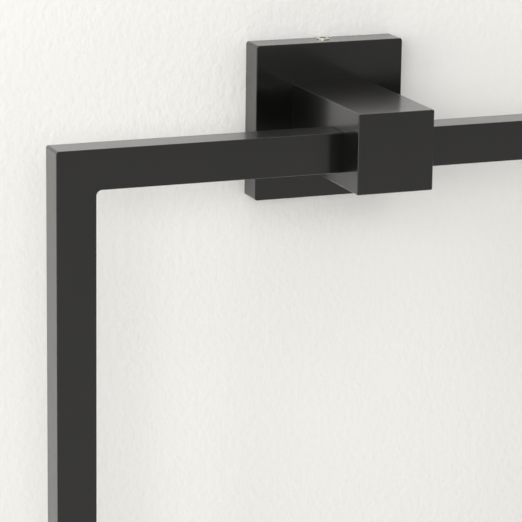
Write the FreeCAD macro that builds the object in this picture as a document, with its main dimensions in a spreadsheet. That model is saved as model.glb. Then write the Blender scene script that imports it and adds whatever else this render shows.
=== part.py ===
import FreeCAD, Part
import math
import os

import Sketcher

# Square towel ring for a wall, in millimetres.
# X runs to the right along the wall, Y runs into the wall and Z runs up.
# The wall is the plane Y = 0 and the origin is the centre of the cover plate's back.
# Everything that shows lies in front of the wall, at negative Y.

# Driving sizes: name, value and what it measures.
SIZES = [
    ("plate_side", 48, "side of the square cover plate"),
    ("plate_depth", 9, "cover plate, from the wall to its front face"),
    ("plate_front", 3, "thickness of the cover plate's front"),
    ("plate_wall", 2.5, "thickness of the cover plate's four sides"),
    ("plate_corner", 0.8, "radius of the plate's four corners"),
    ("plate_edge", 0.3, "rounding round the plate's front, the back rim being flat"),
    ("hollow_corner", 1.5, "radius in the corners of the plate's hollow"),
    ("post_side", 24, "side of the square post"),
    ("post_reach", 60, "from the wall to the post's front face"),
    ("post_edge", 0.4, "rounding of the post's edges"),
    ("bar_face", 12, "height of the ring's bar, seen from the front"),
    ("bar_depth", 10, "thickness of the ring's bar, from back to front"),
    ("bar_setback", 11, "from the post's front face back to the bar's front"),
    ("bar_drop", 1.5, "centre of the top bar below the centre of the post"),
    ("ring_width", 200, "width of the ring over its outside"),
    ("ring_height", 200, "height of the ring over its outside"),
    ("ring_corner", 0.8, "radius of the ring's outer corners"),
    ("ring_inner_corner", 1.7, "radius of the ring's inner corners"),
    ("ring_edge", 0.3, "rounding of the ring's edges"),
    ("socket_gap", 0.1, "gap all round between the bar and its socket"),
    ("bracket_sheet", 2.5, "thickness of the sheet that the bracket is pressed from"),
    ("bracket_side_gap", 3.5, "from the bracket's end to the plate's side wall"),
    ("lip_angle", 55, "angle in degrees between the bracket's lips and the wall"),
    ("lip_gap", 0.8, "from the lips to the front of the hollow"),
    ("lip_seat", 0.05, "gap at the two faces that pull the plate to the wall"),
    ("bend_inside", 0.8, "inside radius of the bracket's bends"),
    ("bend_outside", 1.2, "outside radius of the bracket's bends"),
    ("bracket_corner", 2, "radius of the bracket's lip corners"),
    ("lug_width", 16, "width of the lug that hooks under the lower lip"),
    ("lug_depth", 3.5, "how far from the wall the lug's front lies"),
    ("lug_setback", 0.4, "from the wall to the lug and the boss"),
    ("boss_width", 9, "width of the boss round the plate screw"),
    ("boss_gap", 0.25, "from the boss to the upper lip"),
    ("wall_screw_edge", 6, "from the bracket's end to the wall screw's centre"),
    ("wall_thread", 4, "outside diameter of the wall screw's thread"),
    ("wall_neck", 3, "diameter of the wall screw's plain neck"),
    ("wall_neck_length", 0.2, "plain neck between the head's cone and the thread"),
    ("wall_head", 7.2, "diameter of the wall screw's head"),
    ("wall_length", 30, "wall screw, from the wall plane to its tip"),
    ("wall_point", 5, "length of the wall screw's point"),
    ("countersink", 90, "angle in degrees of a countersunk head and of its seat"),
    ("head_rim", 0.2, "thickness of the rim of a countersunk head"),
    ("head_seat", 0.05, "gap between a countersunk head and its seat"),
    ("screw_play", 0.25, "radial gap between a screw and the plain hole it passes"),
    ("post_screw_spacing", 12, "between the two screws that hold the post"),
    ("post_screw_thread", 4, "outside diameter of the post screw"),
    ("post_screw_head", 7.6, "diameter of the post screw's head"),
    ("post_screw_length", 12, "length of the post screw, head included"),
    ("tapped_spare", 1, "full thread in the post beyond the screw's end"),
    ("drill_point", 118, "angle in degrees at the bottom of a blind hole"),
    ("grub_thread", 4, "outside diameter of both grub screws"),
    ("grub_length", 6, "length of the plate's grub screw"),
    ("grub_proud", 0.4, "how far the plate's grub screw stands out of the plate"),
    ("grub_tip", 2.4, "diameter of a grub screw's flat tip"),
    ("grub_chamfer", 0.3, "chamfer at a grub screw's driven end"),
    ("grub_recess", 0.5, "depth of the ring's grub screw below the post"),
    ("key_flats", 2, "hexagon socket, measured across its flats"),
    ("key_depth", 1.8, "depth of the hexagon socket"),
    ("thread_gap", 0.05, "radial gap between a thread and its tapped hole"),
    ("cross_width", 0.9, "width of a slot of the cross recess"),
    ("cross_span", 4.2, "length of a slot of the cross recess"),
    ("cross_depth", 1.4, "depth of the cross recess"),
]

# Relations between the sizes, as expressions that the features read.
PLATE_HALF = "(Sizes.plate_side / 2)"
HOLLOW_DEPTH = "(Sizes.plate_depth - Sizes.plate_front)"
HOLLOW_HALF = "(Sizes.plate_side / 2 - Sizes.plate_wall)"
POST_HALF = "(Sizes.post_side / 2)"
POST_LENGTH = "(Sizes.post_reach - Sizes.plate_depth)"
BAR_TOP = "(Sizes.bar_face / 2 - Sizes.bar_drop)"
BAR_BOTTOM = "(-Sizes.bar_face / 2 - Sizes.bar_drop)"
BAR_FRONT = "(Sizes.post_reach - Sizes.bar_setback)"
BAR_BACK = f"({BAR_FRONT} - Sizes.bar_depth)"
RING_CENTRE = f"({BAR_TOP} - Sizes.ring_height / 2)"
GRUB_INSET = f"({HOLLOW_DEPTH} / 2)"
GRUB_TOP = f"({PLATE_HALF} + Sizes.grub_proud)"
GRUB_TIP = f"({GRUB_TOP} - Sizes.grub_length)"
GRUB_CONE = "(Sizes.grub_thread / 2 - Sizes.grub_tip / 2)"
LIP_REACH = f"({HOLLOW_DEPTH} - Sizes.lip_gap)"
SLOPE = "tan(Sizes.lip_angle)"
BRACKET_HALF = f"({HOLLOW_HALF} - Sizes.bracket_side_gap)"
BRACKET_FOOT = f"({GRUB_TIP} - ({GRUB_INSET} + Sizes.grub_tip / 2) / {SLOPE} - Sizes.lip_seat)"
LIP_TOP = f"({BRACKET_FOOT} + {LIP_REACH} / {SLOPE})"
LIP_ACROSS = "(Sizes.bracket_sheet / sin(Sizes.lip_angle))"
WALL_SCREW_X = f"({BRACKET_HALF} - Sizes.wall_screw_edge)"
WALL_HOLE = "(Sizes.wall_thread + 2 * Sizes.screw_play)"
POST_SCREW_HOLE = "(Sizes.post_screw_thread + 2 * Sizes.screw_play)"
CONE_SLOPE = "tan(Sizes.countersink / 2)"
SEAT_MARGIN = f"(Sizes.head_rim * {CONE_SLOPE} + Sizes.head_seat)"
RING_GRUB_LENGTH = f"({POST_HALF} - Sizes.grub_recess + {BAR_BOTTOM})"

doc = FreeCAD.newDocument("TowelRing")
sheet = doc.addObject("Spreadsheet::Sheet", "Sizes")
for row, (alias, value, meaning) in enumerate(SIZES, start=1):
    sheet.set(f"A{row}", meaning)
    sheet.set(f"B{row}", str(value))
    sheet.setAlias(f"B{row}", alias)
doc.recompute()


def number(expression):
    """The present value of an expression on the sheet."""
    return float(sheet.evalExpression(expression))


def new_body(name):
    """An empty body whose label names its file."""
    body = doc.addObject("PartDesign::Body", name)
    body.Label = name
    return body


def new_sketch(body, name, plane, offset=None):
    """A sketch on one of the body's own origin planes, lifted off it by an expression."""
    sketch = body.newObject("Sketcher::SketchObject", name)
    support = next(f for f in body.Origin.OriginFeatures if f.Role == plane)
    sketch.AttachmentSupport = [(support, "")]
    sketch.MapMode = "FlatFace"
    if offset:
        sketch.setExpression("AttachmentOffset.Base.z", offset)
    doc.recompute()
    return sketch


def place_point(sketch, geometry, vertex, across, upward):
    """Tie a vertex to the sketch's origin by two expressions."""
    for kind, expression in (("DistanceX", across), ("DistanceY", upward)):
        datum = Sketcher.Constraint(kind, -1, 1, geometry, vertex, number(expression))
        index = sketch.addConstraint(datum)
        sketch.setExpression(f"Constraints[{index}]", expression)


def closed_outline(sketch, corners):
    """A closed run of straight lines through corners given as pairs of expressions."""
    points = [FreeCAD.Vector(number(a), number(b), 0) for a, b in corners]
    count = len(points)
    first = sketch.GeometryCount
    for i in range(count):
        sketch.addGeometry(Part.LineSegment(points[i], points[(i + 1) % count]), False)
    for i in range(count):
        end = Sketcher.Constraint("Coincident", first + i, 2, first + (i + 1) % count, 1)
        sketch.addConstraint(end)
    for i, (across, upward) in enumerate(corners):
        place_point(sketch, first + i, 1, across, upward)


def rectangle(sketch, left, right, low, high):
    """A rectangle between four expressions."""
    closed_outline(sketch, [(left, low), (right, low), (right, high), (left, high)])


def centred_rectangle(sketch, half_width, half_height):
    """A rectangle about the sketch's origin."""
    rectangle(sketch, f"-{half_width}", half_width, f"-{half_height}", half_height)


def circle(sketch, across, upward, diameter):
    """A circle with its centre and diameter bound to expressions."""
    centre = FreeCAD.Vector(number(across), number(upward), 0)
    index = sketch.addGeometry(
        Part.Circle(centre, FreeCAD.Vector(0, 0, 1), number(diameter) / 2), False
    )
    place_point(sketch, index, 3, across, upward)
    size = Sketcher.Constraint("Diameter", index, number(diameter))
    bound = sketch.addConstraint(size)
    sketch.setExpression(f"Constraints[{bound}]", diameter)


def extrude(body, kind, name, sketch, length, reverse=False, symmetric=False):
    """A pad or pocket of a bound length; it must change the body's volume."""
    before = body.Shape.Volume if body.Tip else 0.0
    feature = body.newObject(f"PartDesign::{kind}", name)
    feature.Profile = sketch
    feature.SideType = "Symmetric" if symmetric else "One side"
    feature.Reversed = reverse
    feature.setExpression("Length", length)
    doc.recompute()
    change = feature.Shape.Volume - before
    if (kind == "Pad") != (change > 0) or change == 0:
        raise RuntimeError(f"{body.Label}: {name} adds or removes nothing")
    return feature


def edges_of(feature, test):
    """Names of the feature's edges whose geometry passes the test."""
    return [
        f"Edge{i}" for i, edge in enumerate(feature.Shape.Edges, start=1) if test(edge)
    ]


def round_edges(body, name, feature, names, radius):
    """Round the named edges of a feature with one bound radius."""
    if not names:
        raise RuntimeError(f"{body.Label}: {name} finds no edge")
    fillet = body.newObject("PartDesign::Fillet", name)
    fillet.Base = (feature, names)
    fillet.setExpression("Radius", radius)
    doc.recompute()
    return fillet


def near(a, b):
    """True where two lengths agree to a thousandth of a millimetre."""
    return math.isclose(a, b, abs_tol=0.001)


def runs_along(edge, direction):
    """True for a straight edge parallel to a direction."""
    if not isinstance(edge.Curve, Part.Line):
        return False
    return abs(abs(edge.Curve.Direction.dot(direction)) - 1) < 1e-6


def flat_at(edge, axis, place):
    """True where the whole edge lies at one place along an axis, 0 for X to 2 for Z."""
    box = edge.BoundBox
    low = (box.XMin, box.YMin, box.ZMin)[axis]
    high = (box.XMax, box.YMax, box.ZMax)[axis]
    return near(low, place) and near(high, place)


X_AXIS = FreeCAD.Vector(1, 0, 0)
Y_AXIS = FreeCAD.Vector(0, 1, 0)
ORIGIN = FreeCAD.Vector(0, 0, 0)


def drill(body, name, sketch, diameter, depth=None, countersink=None):
    """A round hole from a sketch of circles, blind with a drill point or right through."""
    doc.recompute()
    before = body.Shape.Volume
    hole = body.newObject("PartDesign::Hole", name)
    hole.Profile = sketch
    hole.ThreadType = "None"
    hole.setExpression("Diameter", diameter)
    if countersink:
        hole.HoleCutType = "Countersink"
        hole.HoleCutCustomValues = True
        hole.setExpression("HoleCutCountersinkAngle", "Sizes.countersink")
        hole.setExpression("HoleCutDiameter", countersink)
    if depth:
        hole.DepthType = "Dimension"
        hole.DrillPoint = "Angled"
        hole.setExpression("DrillPointAngle", "Sizes.drill_point")
        hole.setExpression("Depth", depth)
    else:
        hole.DepthType = "ThroughAll"
    doc.recompute()
    if hole.Shape.Volume >= before:
        hole.Reversed = True
        doc.recompute()
    if hole.Shape.Volume >= before:
        raise RuntimeError(f"{body.Label}: {name} cuts nothing")
    return hole


def turn(body, name, sketch):
    """A full turn of a profile about its sketch's upright axis."""
    feature = body.newObject("PartDesign::Revolution", name)
    feature.Profile = sketch
    feature.ReferenceAxis = (sketch, ["V_Axis"])
    feature.Angle = 360
    doc.recompute()
    return feature


def put(body, across="0", depth="0", upward="0", turned=(X_AXIS, 0)):
    """Seat a body: depth is measured out from the wall, and the turn is in degrees."""
    body.Placement = FreeCAD.Placement(ORIGIN, FreeCAD.Rotation(*turned))
    body.setExpression("Placement.Base.x", across)
    body.setExpression("Placement.Base.y", f"-({depth})")
    body.setExpression("Placement.Base.z", upward)


def add_plate_block(body):
    """The plate's outside: rounded corners, a softened front rim and a flat back rim."""
    outline = new_sketch(body, "plate_outline", "XZ_Plane")
    centred_rectangle(outline, PLATE_HALF, PLATE_HALF)
    block = extrude(body, "Pad", "plate_block", outline, "Sizes.plate_depth")
    corners = edges_of(block, lambda e: runs_along(e, Y_AXIS))
    rounded = round_edges(body, "plate_corners", block, corners, "Sizes.plate_corner")
    front = -number("Sizes.plate_depth")
    rim = edges_of(rounded, lambda e: flat_at(e, 1, front))
    round_edges(body, "plate_rim", rounded, rim, "Sizes.plate_edge")


def cut_hollow(body):
    """The hollow behind the plate's front, open to the wall, with rounded corners."""
    hollow = new_sketch(body, "hollow_outline", "XZ_Plane")
    centred_rectangle(hollow, HOLLOW_HALF, HOLLOW_HALF)
    cut = extrude(body, "Pocket", "hollow", hollow, HOLLOW_DEPTH, reverse=True)
    half = number(HOLLOW_HALF)
    inner = edges_of(
        cut,
        lambda e: runs_along(e, Y_AXIS)
        and near(abs(e.CenterOfMass.x), half)
        and near(abs(e.CenterOfMass.z), half),
    )
    round_edges(body, "hollow_corners", cut, inner, "Sizes.hollow_corner")


def add_screw_boss(body):
    """The boss inside the top wall, which gives the plate's screw its length of thread."""
    boss = new_sketch(body, "boss_outline", "XZ_Plane", "Sizes.lug_setback")
    boss_low = f"({LIP_TOP} + Sizes.boss_gap)"
    boss_high = f"({PLATE_HALF} - Sizes.plate_wall / 2)"
    rectangle(boss, "-Sizes.boss_width / 2", "Sizes.boss_width / 2", boss_low, boss_high)
    boss_length = f"({HOLLOW_DEPTH} - Sizes.lug_setback)"
    extrude(body, "Pad", "screw_boss", boss, boss_length)


def add_hooked_lug(body):
    """The lug inside the bottom wall: its undercut face lies under the bracket's lower lip."""
    lug = new_sketch(body, "lug_profile", "YZ_Plane")
    wall_inside = f"(-{PLATE_HALF} + Sizes.plate_wall / 2)"
    lug_back = f"(-{BRACKET_FOOT} - Sizes.lug_setback / {SLOPE} - Sizes.lip_seat)"
    lug_front = f"(-{BRACKET_FOOT} - Sizes.lug_depth / {SLOPE} - Sizes.lip_seat)"
    closed_outline(
        lug,
        [
            ("-Sizes.lug_setback", wall_inside),
            ("-Sizes.lug_setback", lug_back),
            ("-Sizes.lug_depth", lug_front),
            ("-Sizes.lug_depth", wall_inside),
        ],
    )
    extrude(body, "Pad", "hooked_lug", lug, "Sizes.lug_width", symmetric=True)


def cut_plate_holes(body):
    """Two countersunk holes for the post's screws, and the tapped hole in the top edge."""
    screw_centres = new_sketch(body, "post_screw_centres", "XZ_Plane", HOLLOW_DEPTH)
    for sign in ("-", ""):
        height = f"{sign}Sizes.post_screw_spacing / 2"
        circle(screw_centres, "0", height, POST_SCREW_HOLE)
    seat = f"Sizes.post_screw_head + 2 * {SEAT_MARGIN}"
    drill(body, "post_screw_holes", screw_centres, POST_SCREW_HOLE, None, seat)

    grub_centre = new_sketch(body, "grub_centre", "XY_Plane", PLATE_HALF)
    tapped = "(Sizes.grub_thread + 2 * Sizes.thread_gap)"
    circle(grub_centre, "0", f"-{GRUB_INSET}", tapped)
    depth = f"({PLATE_HALF} - {LIP_TOP})"
    extrude(body, "Pocket", "grub_hole", grub_centre, depth)


def make_cover_plate():
    """Cast square cover, open at the back, with a screw boss above and a hooked lug below."""
    body = new_body("cover_plate")
    add_plate_block(body)
    cut_hollow(body)
    add_screw_boss(body)
    add_hooked_lug(body)
    cut_plate_holes(body)
    return body


def make_post():
    """Square post: a socket from side to side for the ring, tapped behind and below."""
    body = new_body("post")
    outline = new_sketch(body, "post_outline", "XZ_Plane")
    centred_rectangle(outline, POST_HALF, POST_HALF)
    block = extrude(body, "Pad", "post_block", outline, POST_LENGTH)
    front = -number(POST_LENGTH)
    edges = edges_of(block, lambda e: runs_along(e, Y_AXIS) or flat_at(e, 1, front))
    round_edges(body, "post_edges", block, edges, "Sizes.post_edge")

    socket = new_sketch(body, "socket_outline", "YZ_Plane")
    socket_front = f"(-{BAR_FRONT} + Sizes.plate_depth - Sizes.socket_gap)"
    socket_back = f"(-{BAR_BACK} + Sizes.plate_depth + Sizes.socket_gap)"
    socket_low = f"({BAR_BOTTOM} - Sizes.socket_gap)"
    socket_high = f"({BAR_TOP} + Sizes.socket_gap)"
    rectangle(socket, socket_front, socket_back, socket_low, socket_high)
    extrude(body, "Pocket", "socket", socket, "2 * Sizes.post_side", symmetric=True)

    centres = new_sketch(body, "tapped_centres", "XZ_Plane")
    tapped = "Sizes.post_screw_thread + 2 * Sizes.thread_gap"
    for sign in ("-", ""):
        circle(centres, "0", f"{sign}Sizes.post_screw_spacing / 2", f"({tapped})")
    depth = "Sizes.post_screw_length - Sizes.plate_front + Sizes.tapped_spare"
    drill(body, "tapped_holes", centres, tapped, depth)

    below = new_sketch(body, "ring_grub_centre", "XY_Plane", f"-{POST_HALF}")
    middle = f"(-({BAR_FRONT} + {BAR_BACK}) / 2 + Sizes.plate_depth)"
    circle(below, "0", middle, "(Sizes.grub_thread + 2 * Sizes.thread_gap)")
    depth = f"({POST_HALF} + {BAR_BOTTOM})"
    extrude(body, "Pocket", "ring_grub_hole", below, depth, reverse=True)
    put(body, depth="Sizes.plate_depth")
    return body


def make_ring():
    """One closed square frame of flat bar, with sharp outer and softened inner corners."""
    body = new_body("ring")
    outline = new_sketch(body, "ring_outline", "XZ_Plane")
    centred_rectangle(outline, "(Sizes.ring_width / 2)", "(Sizes.ring_height / 2)")
    inner_width = "(Sizes.ring_width / 2 - Sizes.bar_face)"
    inner_height = "(Sizes.ring_height / 2 - Sizes.bar_face)"
    centred_rectangle(outline, inner_width, inner_height)
    frame = extrude(body, "Pad", "ring_frame", outline, "Sizes.bar_depth")
    outer = number("Sizes.ring_width / 2")

    def across(edge):
        """True for one of the edges that run from back to front."""
        return runs_along(edge, Y_AXIS)

    outer_corners = edges_of(
        frame, lambda e: across(e) and near(abs(e.CenterOfMass.x), outer)
    )
    sharp = round_edges(body, "outer_corners", frame, outer_corners, "Sizes.ring_corner")
    inner = number(inner_width)
    inner_corners = edges_of(
        sharp, lambda e: across(e) and near(abs(e.CenterOfMass.x), inner)
    )
    soft = round_edges(
        body, "inner_corners", sharp, inner_corners, "Sizes.ring_inner_corner"
    )
    front = -number("Sizes.bar_depth")
    rims = edges_of(soft, lambda e: flat_at(e, 1, front) or flat_at(e, 1, 0))
    round_edges(body, "ring_rims", soft, rims, "Sizes.ring_edge")
    put(body, depth=BAR_BACK, upward=RING_CENTRE)
    return body


def press_bracket(body):
    """The bent sheet: a flat foot on the wall and two lips that lean away from it."""
    profile = new_sketch(body, "bracket_profile", "YZ_Plane")
    bend = f"({BRACKET_FOOT} + Sizes.bracket_sheet / {SLOPE} - {LIP_ACROSS})"
    inner_top = f"({LIP_TOP} - {LIP_ACROSS})"
    upper = [
        ("0", BRACKET_FOOT),
        (f"-{LIP_REACH}", LIP_TOP),
        (f"-{LIP_REACH}", inner_top),
        ("-Sizes.bracket_sheet", bend),
    ]
    lower = [(across, f"-{upward}") for across, upward in reversed(upper)]
    closed_outline(profile, upper + lower)
    width = f"(2 * {BRACKET_HALF})"
    pressed = extrude(body, "Pad", "pressed_sheet", profile, width, symmetric=True)

    bend_height = number(bend)
    inside = edges_of(
        pressed,
        lambda e: runs_along(e, X_AXIS) and near(abs(e.CenterOfMass.z), bend_height),
    )
    bent = round_edges(body, "inside_bends", pressed, inside, "Sizes.bend_inside")
    outside = edges_of(
        bent, lambda e: runs_along(e, X_AXIS) and near(e.CenterOfMass.y, 0)
    )
    return round_edges(body, "outside_bends", bent, outside, "Sizes.bend_outside")


def make_mounting_bracket():
    """Pressed bracket: a screw bears on its upper lip and so pulls the cover to the wall."""
    body = new_body("mounting_bracket")
    bent = press_bracket(body)
    half = number(BRACKET_HALF)
    lip_top = number(LIP_TOP)
    lip_front = -number(LIP_REACH)

    def at_lip_corner(edge):
        """True for the short edge at a lip's end, across the sheet."""
        middle = edge.CenterOfMass
        outermost = max(abs(v.Z) for v in edge.Vertexes)
        on_front = flat_at(edge, 1, lip_front)
        return on_front and near(abs(middle.x), half) and near(outermost, lip_top)

    corners = edges_of(bent, at_lip_corner)
    round_edges(body, "lip_corners", bent, corners, "Sizes.bracket_corner")

    centres = new_sketch(body, "wall_screw_centres", "XZ_Plane", "Sizes.bracket_sheet")
    for sign in ("-", ""):
        circle(centres, f"{sign}{WALL_SCREW_X}", "0", WALL_HOLE)
    seat = f"Sizes.wall_head + 2 * {SEAT_MARGIN}"
    drill(body, "wall_screw_holes", centres, WALL_HOLE, None, seat)
    return body


def cut_cross(body):
    """A cross recess in the head, whose top is the plane of the sketch."""
    arm = "(Sizes.cross_span / 2)"
    half = "(Sizes.cross_width / 2)"
    corner = [(arm, half), (half, half), (half, arm)]
    points = list(corner)
    points += [(f"-{x}", y) for x, y in reversed(corner)]
    points += [(f"-{x}", f"-{y}") for x, y in corner]
    points += [(x, f"-{y}") for x, y in reversed(corner)]
    sketch = new_sketch(body, "cross_outline", "XY_Plane")
    closed_outline(sketch, points)
    extrude(body, "Pocket", "cross_recess", sketch, "Sizes.cross_depth", reverse=True)


def make_wall_screw(name, across):
    """Countersunk wood screw: cross recess, plain neck and a thread drawn at its outside."""
    body = new_body(name)
    profile = new_sketch(body, "screw_profile", "XZ_Plane")
    cone = f"((Sizes.wall_head - Sizes.wall_neck) / 2 / {CONE_SLOPE})"
    cone_end = f"(Sizes.head_rim + {cone})"
    thread_start = f"({cone_end} + Sizes.wall_neck_length)"
    tip = "(Sizes.bracket_sheet + Sizes.wall_length)"
    closed_outline(
        profile,
        [
            ("0", "0"),
            ("Sizes.wall_head / 2", "0"),
            ("Sizes.wall_head / 2", "Sizes.head_rim"),
            ("Sizes.wall_neck / 2", cone_end),
            ("Sizes.wall_neck / 2", thread_start),
            ("Sizes.wall_thread / 2", thread_start),
            ("Sizes.wall_thread / 2", f"({tip} - Sizes.wall_point)"),
            ("0", tip),
        ],
    )
    turn(body, "screw_turned", profile)
    cut_cross(body)
    put(body, across=across, depth="Sizes.bracket_sheet", turned=(X_AXIS, -90))
    return body


def make_post_screw(name, upward):
    """Countersunk machine screw from inside the cover into the post's back."""
    body = new_body(name)
    profile = new_sketch(body, "screw_profile", "XZ_Plane")
    radius = "Sizes.post_screw_thread / 2"
    cone = f"((Sizes.post_screw_head / 2 - {radius}) / {CONE_SLOPE})"
    cone_end = f"(Sizes.head_rim + {cone})"
    tip = "Sizes.post_screw_length"
    closed_outline(
        profile,
        [
            ("0", "0"),
            ("Sizes.post_screw_head / 2", "0"),
            ("Sizes.post_screw_head / 2", "Sizes.head_rim"),
            (radius, cone_end),
            (radius, f"({tip} - Sizes.grub_chamfer)"),
            (f"({radius} - Sizes.grub_chamfer)", tip),
            ("0", tip),
        ],
    )
    turn(body, "screw_turned", profile)
    cut_cross(body)
    put(body, depth=HOLLOW_DEPTH, upward=upward, turned=(X_AXIS, 90))
    return body


def make_grub_screw(name, length):
    """Grub screw: hexagon socket at the driven end and a coned, flat-ended tip."""
    body = new_body(name)
    profile = new_sketch(body, "screw_profile", "XZ_Plane")
    radius = "Sizes.grub_thread / 2"
    closed_outline(
        profile,
        [
            ("0", "0"),
            (f"({radius} - Sizes.grub_chamfer)", "0"),
            (radius, "Sizes.grub_chamfer"),
            (radius, f"({length} - {GRUB_CONE})"),
            ("Sizes.grub_tip / 2", length),
            ("0", length),
        ],
    )
    turn(body, "screw_turned", profile)
    key = new_sketch(body, "key_outline", "XY_Plane")
    corner = "Sizes.key_flats / sqrt(3)"
    turns = [(f"{corner} * cos({60 * i})", f"{corner} * sin({60 * i})") for i in range(6)]
    closed_outline(key, turns)
    extrude(body, "Pocket", "key_socket", key, "Sizes.key_depth", reverse=True)
    return body


def make_plate_grub_screw():
    """The bright screw in the plate's top edge, which bears on the bracket's upper lip."""
    body = make_grub_screw("plate_grub_screw", "Sizes.grub_length")
    put(body, depth=GRUB_INSET, upward=GRUB_TOP, turned=(X_AXIS, 180))
    return body


def make_ring_grub_screw():
    """The screw under the post, which holds the ring's bar in its socket."""
    body = make_grub_screw("ring_grub_screw", RING_GRUB_LENGTH)
    middle = f"(({BAR_FRONT} + {BAR_BACK}) / 2)"
    put(body, depth=middle, upward=f"(-{POST_HALF} + Sizes.grub_recess)")
    return body


def check_document(pieces):
    """Stop if any object failed or any piece's shape is empty or broken."""
    for item in doc.Objects:
        faults = [state for state in item.State if state in ("Invalid", "Error")]
        if faults:
            raise RuntimeError(f"{item.Label} is {faults}")
    for piece in pieces:
        if piece.Shape.isNull() or not piece.Shape.isValid():
            raise RuntimeError(f"{piece.Label} has no valid shape")
        if len(piece.Shape.Solids) != 1:
            raise RuntimeError(f"{piece.Label} is not one solid")


pieces = [
    make_cover_plate(),
    make_post(),
    make_ring(),
    make_mounting_bracket(),
    make_plate_grub_screw(),
    make_ring_grub_screw(),
    make_post_screw("post_screw_upper", "Sizes.post_screw_spacing / 2"),
    make_post_screw("post_screw_lower", "-Sizes.post_screw_spacing / 2"),
    make_wall_screw("wall_screw_left", f"-{WALL_SCREW_X}"),
    make_wall_screw("wall_screw_right", WALL_SCREW_X),
]
doc.recompute()
check_document(pieces)
os.makedirs("parts", exist_ok=True)
for piece in pieces:
    piece.Shape.exportStep(f"parts/{piece.Label}.step")
    size = piece.Shape.BoundBox
    print(
        f"{piece.Label}: {piece.Shape.Volume:.1f} mm3,"
        f" X {size.XMin:.2f} {size.XMax:.2f},"
        f" Y {size.YMin:.2f} {size.YMax:.2f},"
        f" Z {size.ZMin:.2f} {size.ZMax:.2f}"
    )
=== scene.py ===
"""Looks of a square towel ring with a satin black coat, on a painted wall.

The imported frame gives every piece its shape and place, in metres: X runs to the right
along the wall, Y runs into the wall, Z runs up, and the cover's back is the plane Y = 0.
This script dresses the plate, post, ring and bracket, turns the screws with their
threads and recesses, and sets up the wall behind them, the floor, the light and the
camera.
"""

import logging
import math
from collections.abc import Iterable
from dataclasses import dataclass, field
from enum import Enum
from typing import NamedTuple

import bmesh
import bpy
from mathutils import Matrix, Vector


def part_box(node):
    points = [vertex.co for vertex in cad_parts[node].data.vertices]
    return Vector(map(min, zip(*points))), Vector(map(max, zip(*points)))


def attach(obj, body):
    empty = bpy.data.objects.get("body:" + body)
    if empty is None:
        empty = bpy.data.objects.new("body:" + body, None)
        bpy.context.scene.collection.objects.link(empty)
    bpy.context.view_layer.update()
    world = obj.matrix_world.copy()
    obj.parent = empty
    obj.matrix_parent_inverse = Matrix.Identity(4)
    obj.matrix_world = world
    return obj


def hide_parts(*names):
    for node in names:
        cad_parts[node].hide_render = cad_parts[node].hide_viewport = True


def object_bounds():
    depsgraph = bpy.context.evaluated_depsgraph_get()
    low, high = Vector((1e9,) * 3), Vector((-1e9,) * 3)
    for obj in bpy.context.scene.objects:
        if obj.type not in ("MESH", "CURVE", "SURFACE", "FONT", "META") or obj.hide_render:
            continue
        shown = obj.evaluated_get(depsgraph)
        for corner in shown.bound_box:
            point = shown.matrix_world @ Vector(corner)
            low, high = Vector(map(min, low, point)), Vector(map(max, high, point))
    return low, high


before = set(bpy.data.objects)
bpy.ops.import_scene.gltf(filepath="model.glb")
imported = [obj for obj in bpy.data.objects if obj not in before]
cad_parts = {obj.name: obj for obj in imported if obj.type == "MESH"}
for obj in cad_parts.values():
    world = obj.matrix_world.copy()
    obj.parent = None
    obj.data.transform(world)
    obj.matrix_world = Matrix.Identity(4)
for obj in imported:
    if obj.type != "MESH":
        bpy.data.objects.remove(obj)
CAD_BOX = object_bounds()

LOG = logging.getLogger("towel_ring")
MM = 0.001
BODY = "root"

# Segments round a screw, the gap within which its points are one, and the angle in
# degrees from which its edges stay sharp.
SEGMENTS = 48
MERGE_WITHIN = 0.0005 * MM
SHARP_FROM = 28

# Width of a fine thread's ridge at the core and at its top, as shares of the pitch.
FINE_FOOT = 0.86
FINE_LAND = 0.16

# Size of a cross recess's floor, as a share of its mouth.
CROSS_NARROWING = 0.6

# Octaves of the mottle, and the noise values that give its dark and its light tone.
MOTTLE_OCTAVES = 3.0
MOTTLE_DARK = 0.3
MOTTLE_LIGHT = 0.7

# How much each finer octave of the grain adds.
GRAIN_ROUGHNESS = 0.6

# Rays that look for an arris, and the openness inside the solid where its lighter tone (a
# painted highlight on the black coat, wear on metal) starts and where it is full.
EDGE_SAMPLES = 8
EDGE_START = 0.92
EDGE_FULL = 0.55

Colour = tuple[float, float, float]


class Socket(NamedTuple):
    """One named input or output of a shader node group.

    Attributes:
        name: the socket's name.
        kind: its type, as NodeSocket classes name it.
        side: INPUT or OUTPUT.
    """

    name: str
    kind: str
    side: str = "INPUT"


class NodeSheet:
    """Short ways to add and join the nodes of one material, group or world."""

    def __init__(self, tree: bpy.types.NodeTree) -> None:
        """Start from an empty tree.

        Args:
            tree: the node tree to fill.
        """
        tree.nodes.clear()
        self.tree = tree

    def add(self, kind: str, **settings: object) -> bpy.types.Node:
        """Add a node and set its properties.

        Args:
            kind: the node's type.
            settings: the node's own properties, by name.

        Returns:
            The new node.
        """
        node = self.tree.nodes.new(kind)
        for name, value in settings.items():
            setattr(node, name, value)
        return node

    def join(self, source: bpy.types.NodeSocket, *targets: bpy.types.NodeSocket) -> None:
        """Lead one output to one or more inputs."""
        for target in targets:
            self.tree.links.new(source, target)


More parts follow.
